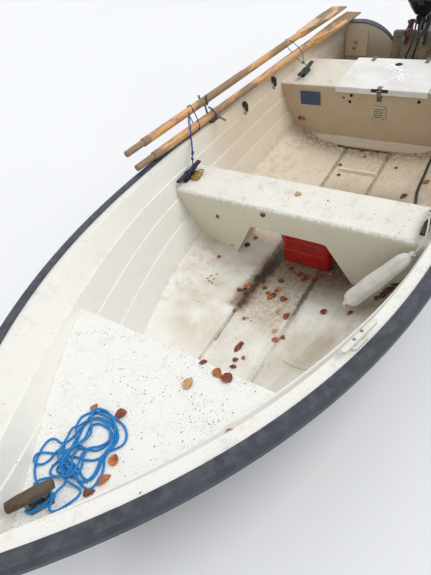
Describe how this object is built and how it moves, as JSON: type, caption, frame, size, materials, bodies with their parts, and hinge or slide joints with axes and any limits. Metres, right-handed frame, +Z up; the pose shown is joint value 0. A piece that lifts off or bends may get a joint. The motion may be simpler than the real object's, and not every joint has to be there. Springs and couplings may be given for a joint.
{
  "type": "rowing boat with outboard motor",
  "caption": "Open double-skinned rowing boat with bow seat, thwart, lidded stern seat, lashed oars and a small tilting, steering outboard motor.",
  "frame": {"origin": "centre line at the waterline, 2.1 m forward of the transom's top", "axes": "+X to the bow, +Y to port, +Z up"},
  "size_m": [4.3301, 1.6258, 1.074],
  "materials": {
    "hull_navy": "weathered gelcoat",
    "liner_white": "chalky gelcoat with dirt",
    "lid_white": "smooth gelcoat",
    "rail_black": "matt vinyl",
    "fitting_black": "moulded",
    "fitting_white": "moulded",
    "steel": "galvanised, worn",
    "brass": "worn",
    "plate_blue": "printed plate, left blank",
    "oar_wood": "weathered, partly varnished",
    "grey_wood": "weathered",
    "cowl_black": "gloss",
    "motor_black": "satin",
    "engine_block": "cast",
    "prop_metal": "satin",
    "tank_red": "moulded",
    "fender_white": "soft vinyl",
    "rope_blue": "braided rope",
    "rope_navy": "braided cord",
    "rope_green": "braided cord",
    "rope_white": "braided line",
    "hose_black": "matt hose",
    "cord_red": "coated cord"
  },
  "bodies": {
    "boat": {"hull": "hull_navy", "liner_floor": "liner_white", "liner_sides": "liner_white", "liner_sides_mid": "liner_white", "rub_rail": "rail_black", "bow_seat": "liner_white", "floor_bar": "liner_white", "mid_thwart": "liner_white", "stern_seat": "liner_white", "lid_hinges": "steel", "hasp_staple": "steel", "vent_grille": "fitting_white", "data_plate": "plate_blue", "transom_edging": "rail_black", "motor_pad": "grey_wood", "transom_plates": "liner_white", "stern_eyes": "steel", "motor_clamp": "motor_black", "clamp_screws": "steel", "oar_looms": "oar_wood", "oar_blades": "oar_wood", "rowlocks": "steel", "rowlock_sockets": "fitting_black", "horn_cleats": "fitting_black", "gunwale_cleat": "fitting_white", "bow_cleat_post": "steel", "bow_cleat_bar": "grey_wood", "fender": "fender_white", "fuel_tank": "tank_red", "tank_fittings": "fitting_black", "padlock": "brass", "painter_turns": "rope_blue", "painter_heap": "rope_blue", "painter_lead": "rope_blue", "painter_tail": "rope_blue", "painter_loop": "rope_blue", "lashing_knots": "rope_navy", "navy_lashing": "rope_navy", "green_lashing": "rope_green", "fender_line": "rope_white", "fuel_hose": "hose_black", "charge_lead": "hose_black", "lead_plug": "fitting_black", "stop_clip": "cord_red", "stop_cord": "cord_red"},
    "lid": {"locker_lid": "lid_white", "lid_hinge_leaves": "steel", "lid_hasp": "steel"},
    "motor_swivel": {"swivel_bracket": "motor_black", "hose_guide": "fitting_black"},
    "motor": {"motor_leg": "motor_black", "gearcase": "motor_black", "cowl_tray": "cowl_black", "cowl": "cowl_black", "powerhead": "engine_block", "tiller": "fitting_black", "carry_handle": "fitting_black"},
    "prop": {"propeller": "prop_metal"}
  },
  "joints": [
    {"name": "locker_lid_hinge", "type": "hinge", "parent": "boat", "child": "lid", "pos_m": [-1.63, 0.031, 0.319], "axis": [0, -1, 0], "range_deg": [0, 100]},
    {"name": "motor_tilt", "type": "hinge", "parent": "boat", "child": "motor_swivel", "pos_m": [-2.1573, 0, 0.3571], "axis": [0, 1, 0], "range_deg": [0, 65], "deforming": ["fuel_hose", "charge_lead", "stop_cord"]},
    {"name": "motor_steer", "type": "hinge", "parent": "motor_swivel", "child": "motor", "pos_m": [-2.207, 0, 0.25], "axis": [0, 0, 1], "range_deg": [-35, 35]},
    {"name": "propeller_spin", "type": "hinge", "parent": "motor", "child": "prop", "pos_m": [-2.42, 0, -0.19], "axis": [1, 0, 0], "continuous": true}
  ]
}
